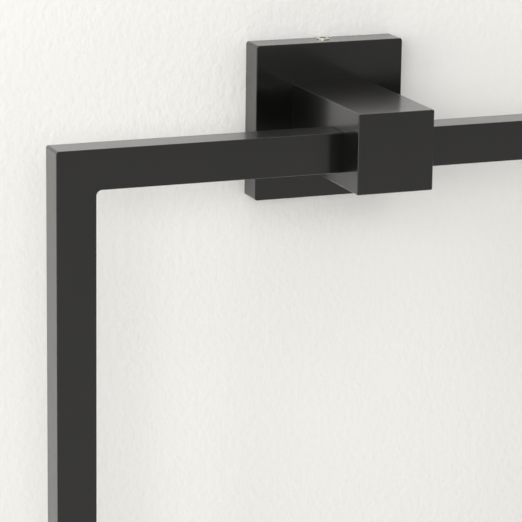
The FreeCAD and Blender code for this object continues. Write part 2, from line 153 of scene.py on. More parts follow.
class EffectGroup:
    """A shader node group that several finishes share, with named inputs and outputs."""

    def __init__(self, name: str, sockets: Iterable[Socket]) -> None:
        """Open the group.

        Args:
            name: the group's name.
            sockets: its inputs and outputs, in order.
        """
        self.tree = bpy.data.node_groups.new(name, "ShaderNodeTree")
        for socket in sockets:
            kind = f"NodeSocket{socket.kind}"
            self.tree.interface.new_socket(socket.name, in_out=socket.side, socket_type=kind)
        self.sheet = NodeSheet(self.tree)
        self.given = self.sheet.add("NodeGroupInput").outputs
        self.result = self.sheet.add("NodeGroupOutput").inputs

    def place_in(self, sheet: NodeSheet, **values: object) -> bpy.types.Node:
        """Put the group into a material.

        Args:
            sheet: the material's nodes.
            values: the group's inputs, with _ for a space in their names.

        Returns:
            The group's node in that material.
        """
        node = sheet.add("ShaderNodeGroup", node_tree=self.tree)
        for name, value in values.items():
            node.inputs[name.replace("_", " ")].default_value = value
        return node


def build_mottle() -> EffectGroup:
    """Slow drifts of tone and gloss, as every sprayed, plated or pressed surface has.

    Returns:
        The group.
    """
    group = EffectGroup(
        "surface_mottle",
        [
            Socket("Vector", "Vector"),
            Socket("Scale", "Float"),
            Socket("Dark", "Color"),
            Socket("Light", "Color"),
            Socket("Smooth", "Float"),
            Socket("Rough", "Float"),
            Socket("Color", "Color", "OUTPUT"),
            Socket("Roughness", "Float", "OUTPUT"),
        ],
    )
    sheet = group.sheet
    drift = sheet.add("ShaderNodeTexNoise")
    drift.inputs["Detail"].default_value = MOTTLE_OCTAVES
    sheet.join(group.given["Vector"], drift.inputs["Vector"])
    sheet.join(group.given["Scale"], drift.inputs["Scale"])
    spread = sheet.add("ShaderNodeMapRange")
    spread.inputs["From Min"].default_value = MOTTLE_DARK
    spread.inputs["From Max"].default_value = MOTTLE_LIGHT
    sheet.join(drift.outputs["Fac"], spread.inputs["Value"])
    tone = sheet.add("ShaderNodeMixRGB")
    sheet.join(spread.outputs["Result"], tone.inputs["Fac"])
    sheet.join(group.given["Dark"], tone.inputs["Color1"])
    sheet.join(group.given["Light"], tone.inputs["Color2"])
    sheet.join(tone.outputs["Color"], group.result["Color"])
    gloss = sheet.add("ShaderNodeMapRange")
    sheet.join(spread.outputs["Result"], gloss.inputs["Value"])
    sheet.join(group.given["Smooth"], gloss.inputs["To Min"])
    sheet.join(group.given["Rough"], gloss.inputs["To Max"])
    sheet.join(gloss.outputs["Result"], group.result["Roughness"])
    return group


def build_grain() -> EffectGroup:
    """Fine relief: orange peel, brush lines or roller stipple, by its scale and stretch.

    Returns:
        The group.
    """
    group = EffectGroup(
        "surface_grain",
        [
            Socket("Vector", "Vector"),
            Socket("Scale", "Float"),
            Socket("Detail", "Float"),
            Socket("Height", "Float", "OUTPUT"),
        ],
    )
    sheet = group.sheet
    fine = sheet.add("ShaderNodeTexNoise")
    fine.inputs["Roughness"].default_value = GRAIN_ROUGHNESS
    sheet.join(group.given["Detail"], fine.inputs["Detail"])
    sheet.join(group.given["Vector"], fine.inputs["Vector"])
    sheet.join(group.given["Scale"], fine.inputs["Scale"])
    sheet.join(fine.outputs["Fac"], group.result["Height"])
    return group


def build_arris_wear_and_highlight() -> EffectGroup:
    """A lighter tone along arrises: a painted highlight on the black coat, and rubbed-bright
    wear on plated and bare metal.

    Returns:
        The group.
    """
    group = EffectGroup(
        "arris_wear_and_highlight",
        [
            Socket("Color", "Color"),
            Socket("Edge Color", "Color"),
            Socket("Width", "Float"),
            Socket("Result", "Color", "OUTPUT"),
        ],
    )
    sheet = group.sheet
    inward = sheet.add(
        "ShaderNodeAmbientOcclusion", inside=True, only_local=True, samples=EDGE_SAMPLES
    )
    sheet.join(group.given["Width"], inward.inputs["Distance"])
    # The mask marks convex arrises for the lighter tone, which is a painted highlight on the
    # black coat.
    mask = sheet.add("ShaderNodeMapRange")
    mask.inputs["From Min"].default_value = EDGE_START
    mask.inputs["From Max"].default_value = EDGE_FULL
    sheet.join(inward.outputs["AO"], mask.inputs["Value"])
    tone = sheet.add("ShaderNodeMixRGB")
    sheet.join(mask.outputs["Result"], tone.inputs["Fac"])
    sheet.join(group.given["Color"], tone.inputs["Color1"])
    sheet.join(group.given["Edge Color"], tone.inputs["Color2"])
    sheet.join(tone.outputs["Color"], group.result["Result"])
    return group


@dataclass(frozen=True)
class Effects:
    """The effects that the finishes share, each built once.

    Attributes:
        mottle: drifts of tone and gloss.
        grain: fine relief.
        arris_wear_and_highlight: the lighter tone of arrises, a painted highlight on the black
            coat and wear on metal.
    """

    mottle: EffectGroup = field(default_factory=build_mottle)
    grain: EffectGroup = field(default_factory=build_grain)
    arris_wear_and_highlight: EffectGroup = field(default_factory=build_arris_wear_and_highlight)


@dataclass(frozen=True, kw_only=True)
class Surface:
    """A surface with mottled tone and gloss and a fine relief.

    Attributes:
        name: the material's name.
        dark: the darker tone of the mottle.
        light: the lighter tone of the mottle.
        smooth: the lowest roughness.
        rough: the highest roughness.
        patch: how wide a patch of the mottle is, in metres.
        grain: how wide one grain of the relief is, in metres.
        relief: how deep the relief is, in metres.
        stretch: how much finer the grain is along X, Y and Z.
        octaves: how many finer sizes of grain lie over the first.
        mirror: strength of the surface's own reflection, 0.5 for plain paint.
    """

    name: str
    dark: Colour
    light: Colour
    smooth: float
    rough: float
    patch: float
    grain: float
    relief: float
    stretch: tuple[float, float, float] = (1.0, 1.0, 1.0)
    octaves: float = 3.0
    mirror: float = 0.5

    def material(self, effects: Effects) -> bpy.types.Material:
        """Build the material.

        Args:
            effects: the shared node groups.

        Returns:
            The new material.
        """
        material = bpy.data.materials.new(self.name)
        material.use_nodes = True
        sheet = NodeSheet(material.node_tree)
        place = sheet.add("ShaderNodeTexCoord").outputs["Object"]
        surface = sheet.add("ShaderNodeBsdfPrincipled")
        surface.inputs["Specular IOR Level"].default_value = self.mirror
        mottle = effects.mottle.place_in(
            sheet,
            Scale=1 / self.patch,
            Dark=(*self.dark, 1),
            Light=(*self.light, 1),
            Smooth=self.smooth,
            Rough=self.rough,
        )
        sheet.join(place, mottle.inputs["Vector"])
        sheet.join(mottle.outputs["Roughness"], surface.inputs["Roughness"])
        self._join_relief(sheet, effects, place, surface)
        shader = self._shade(sheet, effects, mottle.outputs["Color"], surface)
        output = sheet.add("ShaderNodeOutputMaterial")
        sheet.join(shader, output.inputs["Surface"])
        return material

    def _join_relief(
        self,
        sheet: NodeSheet,
        effects: Effects,
        place: bpy.types.NodeSocket,
        surface: bpy.types.Node,
    ) -> None:
        """Lead the stretched grain to the normals.

        Args:
            sheet: the material's nodes.
            effects: the shared node groups.
            place: the output that gives each point's place.
            surface: the material's Principled node.
        """
        stretch = sheet.add("ShaderNodeMapping")
        stretch.inputs["Scale"].default_value = self.stretch
        sheet.join(place, stretch.inputs["Vector"])
        grain = effects.grain.place_in(sheet, Scale=1 / self.grain, Detail=self.octaves)
        sheet.join(stretch.outputs["Vector"], grain.inputs["Vector"])
        bump = sheet.add("ShaderNodeBump")
        bump.inputs["Distance"].default_value = self.relief
        sheet.join(grain.outputs["Height"], bump.inputs["Height"])
        sheet.join(bump.outputs["Normal"], surface.inputs["Normal"])

    def _shade(
        self,
        sheet: NodeSheet,
        effects: Effects,
        tone: bpy.types.NodeSocket,
        surface: bpy.types.Node,
    ) -> bpy.types.NodeSocket:
        """Lead the tone to the surface, and choose what the material shows.

        Args:
            sheet: the material's nodes.
            effects: the shared node groups.
            tone: the mottle's colour.
            surface: the material's Principled node.

        Returns:
            The output that the material shows.
        """
        raise NotImplementedError


@dataclass(frozen=True, kw_only=True)
class Finish(Surface):
    """The finish of one kind of piece.

    Attributes:
        slot: the name of a material slot for the finish; it is not used.
        edge: the lighter tone along arrises; on the black coat it is a painted highlight, on
            metal it is wear.
        edge_width: how far that lighter tone reaches from an arris, in metres.
        metallic: 1 for bare metal.
        coat: weight of the clear skin of a cured coat.
        coat_roughness: roughness of that skin.
    """

    slot: str
    edge: Colour
    edge_width: float = 0.2 * MM
    metallic: float = 0.0
    coat: float = 0.0
    coat_roughness: float = 0.3

    def _shade(
        self,
        sheet: NodeSheet,
        effects: Effects,
        tone: bpy.types.NodeSocket,
        surface: bpy.types.Node,
    ) -> bpy.types.NodeSocket:
        """Set the metal and the coat, and lead the tone through the lighter arrises, which are a
        painted highlight on the black coat.

        Args:
            sheet: the material's nodes.
            effects: the shared node groups.
            tone: the mottle's colour.
            surface: the material's Principled node.

        Returns:
            The surface's shader.
        """
        surface.inputs["Metallic"].default_value = self.metallic
        surface.inputs["Coat Weight"].default_value = self.coat
        surface.inputs["Coat Roughness"].default_value = self.coat_roughness
        # Arrises take the edge tone: a painted highlight on the black coat, wear on metal.
        edge = effects.arris_wear_and_highlight.place_in(
            sheet, Edge_Color=(*self.edge, 1), Width=self.edge_width
        )
        sheet.join(tone, edge.inputs["Color"])
        sheet.join(edge.outputs["Result"], surface.inputs["Base Color"])
        return surface.outputs["BSDF"]


SATIN_BLACK = Finish(
    name="satin_black_coat",
    slot="black_coat",
    dark=(0.001, 0.001, 0.0009),
    light=(0.0024, 0.0024, 0.0021),
    # The edge tone is a painted highlight along the coat's arrises.
    edge=(0.012, 0.012, 0.0115),
    smooth=0.3,
    rough=0.33,
    patch=22 * MM,
    grain=0.45 * MM,
    relief=0.0003 * MM,
    edge_width=0.3 * MM,
    mirror=0.25,
    coat=0.75,
    coat_roughness=0.14,
)
PRESSED_STEEL = Finish(
    name="pressed_bracket_steel",
    slot="bracket_steel",
    dark=(0.47, 0.475, 0.47),
    light=(0.62, 0.62, 0.605),
    edge=(0.75, 0.75, 0.73),
    smooth=0.3,
    rough=0.44,
    patch=6 * MM,
    grain=0.3 * MM,
    relief=0.003 * MM,
    stretch=(0.06, 1.0, 1.0),
    metallic=1.0,
)
BRIGHT_STEEL = Finish(
    name="bright_grub_steel",
    slot="bright_screw",
    dark=(0.66, 0.63, 0.56),
    light=(0.82, 0.79, 0.72),
    edge=(0.9, 0.88, 0.82),
    smooth=0.2,
    rough=0.32,
    patch=1.5 * MM,
    grain=0.12 * MM,
    relief=0.0015 * MM,
    edge_width=0.08 * MM,
    metallic=1.0,
)
ZINC_PLATE = Finish(
    name="zinc_screw_plate",
    slot="zinc_screw",
    dark=(0.54, 0.55, 0.56),
    light=(0.69, 0.69, 0.67),
    edge=(0.8, 0.8, 0.78),
    smooth=0.26,
    rough=0.4,
    patch=2.5 * MM,
    grain=0.15 * MM,
    relief=0.002 * MM,
    edge_width=0.1 * MM,
    metallic=1.0,
)


def fix_order(bm: bmesh.types.BMesh) -> None:
    """Sort a mesh by place, because the extruding operators leave an order that varies.

    Args:
        bm: the finished mesh.
    """
    for elements, key in (
        (bm.verts, lambda vert: vert.co[:]),
        (bm.edges, lambda edge: sorted(vert.index for vert in edge.verts)),
        (bm.faces, lambda face: sorted(vert.index for vert in face.verts)),
    ):
        ranks = {item: rank for rank, item in enumerate(sorted(elements, key=key))}
        elements.sort(key=ranks.get)
        elements.index_update()


class Workshop:
    """Keeps one material for each finish, and finishes the pieces."""

    def __init__(self) -> None:
        """Build the shared effects."""
        self.effects = Effects()
        self._materials: dict[str, bpy.types.Material] = {}

    def material(self, finish: Finish) -> bpy.types.Material:
        """The one material of a finish, built when it is first asked for.

        Args:
            finish: the finish.

        Returns:
            Its material.
        """
        if finish.name not in self._materials:
            self._materials[finish.name] = finish.material(self.effects)
        return self._materials[finish.name]

    def dress(self, node: str, finish: Finish) -> None:
        """Give a node of the frame its finish, with its shape as it is.

        Args:
            node: the node's name.
            finish: the finish of its whole surface.
        """
        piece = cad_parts[node]
        for holder in piece.material_slots:
            holder.material = self.material(finish)
        LOG.info("%s keeps its solid, with %s", node, finish.name)

    def mount(self, bm: bmesh.types.BMesh, place: Matrix, node: str, finish: Finish) -> None:
        """Turn a finished mesh into the piece that stands for a node.

        Args:
            bm: the mesh in its own frame, which is freed here.
            place: carries the mesh to its place in the frame.
            node: the node that the piece stands for.
            finish: the finish of its whole surface.
        """
        bmesh.ops.remove_doubles(bm, verts=bm.verts, dist=MERGE_WITHIN)
        bmesh.ops.recalc_face_normals(bm, faces=bm.faces)
        bmesh.ops.transform(bm, matrix=place, verts=bm.verts)
        fix_order(bm)
        mesh = bpy.data.meshes.new(f"{node}_threaded")
        bm.to_mesh(mesh)
        bm.free()
        mesh.shade_smooth()
        mesh.set_sharp_from_angle(angle=math.radians(SHARP_FROM))
        mesh.materials.append(self.material(finish))
        piece = bpy.data.objects.new(mesh.name, mesh)
        bpy.context.scene.collection.objects.link(piece)
        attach(piece, BODY)
        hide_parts(node)
        LOG.info("%s stands for %s: %d faces", piece.name, node, len(mesh.polygons))


class Facing(Enum):
    """Where a screw's driven end looks, as a turn about X from straight up."""

    UP = 0
    TO_ROOM = 90
    DOWN = 180
    TO_WALL = -90

    @property
    def turn(self) -> Matrix:
        """The rotation that carries +Z to that direction."""
        return Matrix.Rotation(math.radians(self.value), 4, "X")


class Drive(Enum):
    """The recess that turns a screw."""

    HEXAGON = "hexagon"
    CROSS = "cross"


@dataclass(frozen=True)
class Recess:
    """A drive recess sunk into a screw's end.

    Attributes:
        drive: its outline.
        span: across the hexagon's flats, or along an arm of the cross.
        depth: how deep its walls go.
        arm: width of a cross's arm.
        narrowing: size of its floor, as a share of its mouth.
        cone: depth of the drilled point below its floor.
    """

    drive: Drive
    span: float
    depth: float
    arm: float = 0.9 * MM
    narrowing: float = 1.0
    cone: float = 0.0

    def corners(self) -> list[tuple[float, float]]:
        """The corners of its mouth.

        Returns:
            Their X and Y from the axis, in order round it.
        """
        if self.drive is Drive.HEXAGON:
            radius = self.span / math.sqrt(3)
            angles = [math.radians(60 * i) for i in range(6)]
            return [(radius * math.cos(a), radius * math.sin(a)) for a in angles]
        reach, half = self.span / 2, self.arm / 2
        quarter = [(reach, -half), (reach, half), (half, half)]
        turns = [Matrix.Rotation(math.radians(90 * i), 2) for i in range(4)]
        return [tuple(turn @ Vector(corner)) for turn in turns for corner in quarter]


@dataclass(frozen=True)
class Thread:
    """A helical ridge round a screw's core.

    Attributes:
        crest: radius over the ridge.
        root: radius of the core under it.
        pitch: advance in one turn.
        start: depth below the driven end where the ridge begins.
        end: depth where it ends.
        foot: width of the ridge at the core, as a share of the pitch.
        land: width of the ridge's top, as a share of the pitch.
        point: length of the screw's point, along which ridge and core shrink together.
        tip: depth of the screw's tip.
    """

    crest: float
    root: float
    pitch: float
    start: float
    end: float
    foot: float
    land: float
    point: float = 0.0
    tip: float = 0.0

    # Sections of the ridge in one turn, and the radius of its buried foot as a share of
    # the core's.
    STEPS = 32
    SUNK = 0.94

    def left_at(self, depth: float) -> float:
        """The share of the full radius that the screw's point leaves.

        Args:
            depth: below the driven end.

        Returns:
            1 above the point, and down to 0 at the tip.
        """
        if not self.point:
            return 1.0
        return max(0.0, min(1.0, (self.tip - depth) / self.point))

    def swell_at(self, depth: float) -> float:
        """How far the ridge has grown at a depth: it fades over one pitch at both ends."""
        nearest = min(depth - self.start, self.end - depth)
        return max(0.0, min(1.0, nearest / self.pitch))

    def add_to(self, bm: bmesh.types.BMesh) -> None:
        """Spin the ridge's section down the axis and close its two ends.

        Args:
            bm: the mesh in the making, with the driven end at height 0.
        """
        foot, land = self.foot * self.pitch / 2, self.land * self.pitch / 2
        sunk = self.root * self.SUNK
        first = self.start + foot
        section = [(sunk, foot), (self.crest, land), (self.crest, -land), (sunk, -foot)]
        verts = [bm.verts.new((radius, 0, up - first)) for radius, up in section]
        edges = [bm.edges.new(pair) for pair in zip(verts, verts[1:] + verts[:1])]
        turns = (self.end - self.start - 2 * foot) / self.pitch
        steps = round(turns * self.STEPS)
        before = set(bm.verts) - set(verts)
        made = bmesh.ops.spin(
            bm,
            geom=verts + edges,
            cent=(0, 0, 0),
            axis=(0, 0, 1),
            dvec=(0, 0, -self.pitch / self.STEPS),
            angle=2 * math.pi * steps / self.STEPS,
            steps=steps,
            use_merge=False,
        )
        last = [item for item in made["geom_last"] if isinstance(item, bmesh.types.BMEdge)]
        bmesh.ops.contextual_create(bm, geom=edges)
        bmesh.ops.contextual_create(bm, geom=last)
        for vert in set(bm.verts) - before:
            self._shape(vert, sunk)

    def _shape(self, vert: bmesh.types.BMVert, sunk: float) -> None:
        """Let one vertex of the ridge follow the run-outs and the point.

        Args:
            vert: the vertex.
            sunk: radius of the ridge's buried foot.
        """
        depth = -vert.co.z
        radius = vert.co.xy.length
        raised = sunk + (radius - sunk) * self.swell_at(depth)
        vert.co.xy *= raised / radius * self.left_at(depth)


def grow_loop(
    bm: bmesh.types.BMesh, edges: list[bmesh.types.BMEdge], growth: float, drop: float
) -> list[bmesh.types.BMEdge]:
    """Draw a closed loop on: extrude it, scale it about the axis and lower it.

    Args:
        bm: the mesh in the making.
        edges: the loop.
        growth: the new loop's size as a share of the old one's.
        drop: how far the new loop lies below the old one.

    Returns:
        The edges of the new loop.
    """
    made = bmesh.ops.extrude_edge_only(bm, edges=edges)["geom"]
    verts = {item for item in made if isinstance(item, bmesh.types.BMVert)}
    bmesh.ops.scale(bm, verts=list(verts), vec=(growth, growth, 1))
    bmesh.ops.translate(bm, verts=list(verts), vec=(0, 0, -drop))
    drawn = [item for item in made if isinstance(item, bmesh.types.BMEdge)]
    return [edge for edge in drawn if verts.issuperset(edge.verts)]


class Station(NamedTuple):
    """One circle of a turned profile: its radius, and its depth below the driven end."""

    radius: float
    depth: float


@dataclass(frozen=True)
class Screw:
    """A screw that stands for a node of the frame, and takes its length and place from it.

    Attributes:
        node: the node's name.
        facing: where the driven end looks.
        finish: the finish of the whole screw.
        recess: the drive recess.
        pitch: the thread's advance in one turn.
        root: radius of the core under the thread.
        softened: chamfer of the driven end's rim and of the recess's mouth.
    """

    # Size of the flat at the bottom of a drilled point, as a share of the recess's floor.
    CONE_FLAT = 0.05

    node: str
    facing: Facing
    finish: Finish
    recess: Recess
    pitch: float
    root: float
    softened: float = 0.06 * MM

    @property
    def axis(self) -> Vector:
        """The direction that the driven end looks in."""
        return self.facing.turn.to_3x3() @ Vector((0, 0, 1))

    @property
    def half(self) -> Vector:
        """Half the node's size along X, Y and Z."""
        low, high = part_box(self.node)
        return (high - low) / 2

    @property
    def length(self) -> float:
        """The node's length along the screw's axis."""
        return 2 * abs(self.half.dot(self.axis))

    @property
    def widest(self) -> float:
        """The radius of the screw's widest part."""
        return self.half.x

    def place(self) -> Matrix:
        """Where the screw sits.

        Returns:
            The matrix that carries it from its own frame to its place.
        """
        low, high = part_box(self.node)
        driven_end = (low + high) / 2 + self.axis * self.length / 2
        return Matrix.Translation(driven_end) @ self.facing.turn

    def profile(self) -> list[Station]:
        """The stations of the outside below the driven end's rim."""
        raise NotImplementedError

    def thread(self) -> Thread:
        """The thread round the core."""
        raise NotImplementedError

    def build(self, workshop: Workshop) -> None:
        """Model the screw and hand it to the workshop.

        Args:
            workshop: finishes the piece.
        """
        bm = bmesh.new()
        stations = self.profile()
        rim = bmesh.ops.create_circle(bm, segments=SEGMENTS, radius=stations[0].radius)["verts"]
        outside = list(dict.fromkeys(edge for vert in rim for edge in vert.link_edges))
        self._sink_recess(bm, outside)
        for here, there in zip(stations, stations[1:]):
            growth, drop = there.radius / here.radius, there.depth - here.depth
            outside = grow_loop(bm, outside, growth, drop)
        bmesh.ops.contextual_create(bm, geom=outside)
        self.thread().add_to(bm)
        workshop.mount(bm, self.place(), self.node, self.finish)

    def _sink_recess(self, bm: bmesh.types.BMesh, rim: list[bmesh.types.BMEdge]) -> None:
        """Close the driven end round the recess's mouth, and sink the recess.

        Args:
            bm: the mesh in the making.
            rim: the circle round the driven end.
        """
        corners = self.recess.corners()
        verts = [bm.verts.new((*corner, 0)) for corner in corners]
        edges = [bm.edges.new(pair) for pair in zip(verts, verts[1:] + verts[:1])]
        cuts = SEGMENTS // len(corners) - 1
        made = bmesh.ops.subdivide_edges(bm, edges=edges, cuts=cuts)["geom"]
        mouth = [item for item in made if isinstance(item, bmesh.types.BMEdge)]
        ends = {vert for edge in mouth for vert in edge.verts}
        widening = 1 + self.softened / (self.recess.span / 2)
        bmesh.ops.scale(bm, verts=list(ends), vec=(widening, widening, 1))
        bmesh.ops.bridge_loops(bm, edges=rim + mouth)
        wall = grow_loop(bm, mouth, 1 / widening, self.softened)
        floor = grow_loop(bm, wall, self.recess.narrowing, self.recess.depth - self.softened)
        if self.recess.cone:
            floor = grow_loop(bm, floor, self.CONE_FLAT, self.recess.cone)
        bmesh.ops.contextual_create(bm, geom=floor)


@dataclass(frozen=True)
class GrubScrew(Screw):
    """A headless screw with a chamfered driven end and a coned, flat tip.

    Attributes:
        chamfer: chamfer at the driven end.
        tip_radius: radius of the flat tip.
    """

    # Share of the tip's cone that has no thread.
    BARE_CONE = 0.7

    chamfer: float = 0.3 * MM
    tip_radius: float = 1.2 * MM

    def profile(self) -> list[Station]:
        """Driven end, chamfer, threaded core and coned tip.

        Returns:
            The stations, from the driven end down.
        """
        crest = self.widest
        cone_start = self.length - (crest - self.tip_radius)
        return [
            Station(crest - self.chamfer, 0),
            Station(crest - self.softened, self.chamfer - self.softened),
            Station(crest - self.softened, self.chamfer + self.softened),
            Station(self.root, self.chamfer + self.softened + crest - self.root),
            Station(self.root, cone_start + crest - self.root),
            Station(self.tip_radius, self.length),
        ]

    def thread(self) -> Thread:
        """A fine thread from the chamfer to the cone.

        Returns:
            The thread.
        """
        cone = self.widest - self.tip_radius
        return Thread(
            crest=self.widest,
            root=self.root,
            pitch=self.pitch,
            start=self.chamfer,
            end=self.length - cone * self.BARE_CONE,
            foot=FINE_FOOT,
            land=FINE_LAND,
        )


@dataclass(frozen=True)
class CountersunkScrew(Screw):
    """A screw with a flat countersunk head.

    Attributes:
        head_rim: thickness of the head's rim.
        shank: radius of the thread's crest.
        neck: radius of the plain neck under the head.
    """

    head_rim: float = 0.2 * MM
    shank: float = 2.0 * MM
    neck: float = 1.5 * MM

    @property
    def cone_end(self) -> float:
        """The depth where the head's cone meets the neck."""
        return self.head_rim + self.widest - self.neck

    def head(self) -> list[Station]:
        """The head.

        Returns:
            Its stations, down to the neck.
        """
        return [
            Station(self.widest - self.softened, 0),
            Station(self.widest, self.softened),
            Station(self.widest, self.head_rim),
            Station(self.neck, self.cone_end),
        ]


@dataclass(frozen=True)
class MachineScrew(CountersunkScrew):
    """A countersunk screw with a fine thread and a chamfered end.

    Attributes:
        chamfer: chamfer at the end.
    """

    chamfer: float = 0.3 * MM

    def profile(self) -> list[Station]:
        """Head, threaded core and chamfered end.

        Returns:
            The stations, from the head down.
        """
        return self.head() + [
            Station(self.root, self.cone_end + self.neck - self.root),
            Station(self.root, self.length - self.chamfer),
            Station(self.root - self.chamfer, self.length),
        ]

    def thread(self) -> Thread:
        """A fine thread from the head to the end.

        Returns:
            The thread.
        """
        return Thread(
            crest=self.shank,
            root=self.root,
            pitch=self.pitch,
            start=self.cone_end + self.shank - self.root,
            end=self.length - self.chamfer / 2,
            foot=FINE_FOOT,
            land=FINE_LAND,
        )


@dataclass(frozen=True)
class WoodScrew(CountersunkScrew):
    """A countersunk screw with a coarse, thin thread that runs on to its point.

    Attributes:
        point: length of the point.
        under_wall: depth of the wall's surface below the driven end.
    """

    # Share of the point that has no thread, how many times thinner than the core the tip
    # is, and the ridge's width at the core and at its top as shares of the pitch.
    BARE_POINT = 0.2
    TIP_THINNER = 60
    FOOT = 0.42
    LAND = 0.05

    point: float = 5 * MM
    under_wall: float = 2.5 * MM

    def profile(self) -> list[Station]:
        """Head, plain neck, core and point.

        Returns:
            The stations, from the head down.
        """
        point_start = self.length - self.point
        return self.head() + [
            Station(self.neck, self.under_wall),
            Station(self.root, self.under_wall + self.neck - self.root),
            Station(self.root, point_start),
            Station(self.root / 2, point_start + self.point / 2),
            Station(self.root / self.TIP_THINNER, self.length),
        ]

    def thread(self) -> Thread:
        """A coarse thread from the wall's surface to the point.

        Returns:
            The thread.
        """
        return Thread(
            crest=self.shank,
            root=self.root,
            pitch=self.pitch,
            start=self.under_wall,
            end=self.length - self.BARE_POINT * self.point,
            foot=self.FOOT,
            land=self.LAND,
            point=self.point,
            tip=self.length,
        )


@dataclass(frozen=True)
class CoverAndPost:
    """The plate's cover with its post, and the screws that belong to them.

    Attributes:
        coat: the finish of the cover and the post.
        grub_pitch: pitch of an M4 thread.
        grub_root: radius of an M4 thread's core.
        key_flats: across the flats of the hexagon socket.
        key_depth: depth of that socket.
        key_cone: depth of the drilled point below that socket.
        screw_neck: radius under the head of a screw behind the post.
        screw_span: length of an arm of the cross recess.
        screw_depth: depth of the cross recess.
    """

    coat: Finish = SATIN_BLACK
    grub_pitch: float = 0.7 * MM
    grub_root: float = 1.57 * MM
    key_flats: float = 2 * MM
    key_depth: float = 1.8 * MM
    key_cone: float = 0.35 * MM
    screw_neck: float = 2.0 * MM
    screw_span: float = 4.2 * MM
    screw_depth: float = 1.4 * MM

    def build(self, workshop: Workshop) -> None:
        """Dress the cover and the post, and turn their three screws.

        Args:
            workshop: finishes the pieces.
        """
        for node in ("cover_plate", "post"):
            workshop.dress(node, self.coat)
        self.grub_screw("plate_grub_screw", Facing.UP).build(workshop)
        recess = Recess(
            Drive.CROSS, self.screw_span, self.screw_depth, narrowing=CROSS_NARROWING
        )
        for node in ("post_screw_upper", "post_screw_lower"):
            MachineScrew(
                node=node,
                facing=Facing.TO_WALL,
                finish=ZINC_PLATE,
                recess=recess,
                pitch=self.grub_pitch,
                root=self.grub_root,
                neck=self.screw_neck,
            ).build(workshop)

    def grub_screw(self, node: str, facing: Facing) -> GrubScrew:
        """An M4 grub screw for one of the two tapped holes.

        Args:
            node: the node that it stands for.
            facing: where its driven end looks.

        Returns:
            The screw, ready to build.
        """
        recess = Recess(Drive.HEXAGON, self.key_flats, self.key_depth, cone=self.key_cone)
        return GrubScrew(
            node=node,
            facing=facing,
            finish=BRIGHT_STEEL,
            recess=recess,
            pitch=self.grub_pitch,
            root=self.grub_root,
        )


@dataclass(frozen=True)
class HangingRing:
    """The square ring and the screw under the post that holds it.

    Attributes:
        mounting: the cover and post, whose grub screw it shares.
        coat: the ring's finish.
    """

    mounting: CoverAndPost
    coat: Finish = SATIN_BLACK

    def build(self, workshop: Workshop) -> None:
        """Dress the ring and turn its screw."""
        workshop.dress("ring", self.coat)
        self.mounting.grub_screw("ring_grub_screw", Facing.DOWN).build(workshop)


@dataclass(frozen=True)
class WallFixing:
    """The bracket behind the cover, with its two wood screws.

    Attributes:
        screw_pitch: advance of the coarse thread in one turn.
        screw_root: radius of its core.
        screw_span: length of an arm of the cross recess.
        screw_depth: depth of the cross recess.
    """

    screw_pitch: float = 1.8 * MM
    screw_root: float = 1.3 * MM
    screw_span: float = 4.2 * MM
    screw_depth: float = 1.4 * MM

    def build(self, workshop: Workshop) -> None:
        """Dress the bracket and turn its screws.

        Args:
            workshop: finishes the pieces.
        """
        workshop.dress("mounting_bracket", PRESSED_STEEL)
        recess = Recess(
            Drive.CROSS, self.screw_span, self.screw_depth, narrowing=CROSS_NARROWING
        )
        for node in ("wall_screw_left", "wall_screw_right"):
            WoodScrew(
                node=node,
                facing=Facing.TO_ROOM,
                finish=ZINC_PLATE,
                recess=recess,
                pitch=self.screw_pitch,
                root=self.screw_root,
            ).build(workshop)


@dataclass(frozen=True, kw_only=True)
class OneSidedPaint(Surface):
    """Matt paint on a surface of the room, which is clear from behind."""

    smooth: float = 0.85
    rough: float = 0.95
    mirror: float = 0.1

    def _shade(
        self,
        sheet: NodeSheet,
        effects: Effects,
        tone: bpy.types.NodeSocket,
        surface: bpy.types.Node,
    ) -> bpy.types.NodeSocket:
        """Lead the tone to the paint, and clear it away on its back.

        Args:
            sheet: the material's nodes.
            effects: the shared node groups, of which paint needs no more.
            tone: the mottle's colour.
            surface: the material's Principled node.

        Returns:
            The paint or, from behind, nothing.
        """
        sheet.join(tone, surface.inputs["Base Color"])
        side = sheet.add("ShaderNodeNewGeometry")
        clear = sheet.add("ShaderNodeBsdfTransparent")
        choice = sheet.add("ShaderNodeMixShader")
        sheet.join(side.outputs["Backfacing"], choice.inputs["Fac"])
        sheet.join(surface.outputs["BSDF"], choice.inputs[1])
        sheet.join(clear.outputs["BSDF"], choice.inputs[2])
        return choice.outputs["Shader"]


def out_from_wall(azimuth: float, elevation: float) -> Vector:
    """A direction from the wall into the room.

    Args:
        azimuth: degrees to the right of straight in front.
        elevation: degrees above level.

    Returns:
        The unit vector.
    """
    across, up = math.radians(azimuth), math.radians(elevation)
    return Vector(
        (math.sin(across) * math.cos(up), -math.cos(across) * math.cos(up), math.sin(up))
    )


@dataclass(frozen=True)
class SoftLamp:
    """A large soft lamp aimed at the ring.

    Attributes:
        name: the lamp's name.
        azimuth: degrees to the right of straight in front.
        elevation: degrees above level.
        distance: from the ring, in metres.
        width: its width in metres.
        height: its height in metres.
        power: in watts.
        colour: its tint.
    """

    name: str
    azimuth: float
    elevation: float
    distance: float
    width: float
    height: float
    power: float
    colour: Colour = (1.0, 1.0, 1.0)

    def hang(self, target: Vector) -> None:
        """Place the lamp and aim it.

        Args:
            target: the point that it shines at.
        """
        lamp = bpy.data.lights.new(self.name, "AREA")
        lamp.shape = "RECTANGLE"
        lamp.size = self.width
        lamp.size_y = self.height
        lamp.energy = self.power
        lamp.color = self.colour
        away = out_from_wall(self.azimuth, self.elevation)
        holder = bpy.data.objects.new(self.name, lamp)
        turn = away.to_track_quat("Z", "Y").to_matrix().to_4x4()
        holder.matrix_world = Matrix.Translation(target + away * self.distance) @ turn
        holder.visible_camera = False
        bpy.context.scene.collection.objects.link(holder)


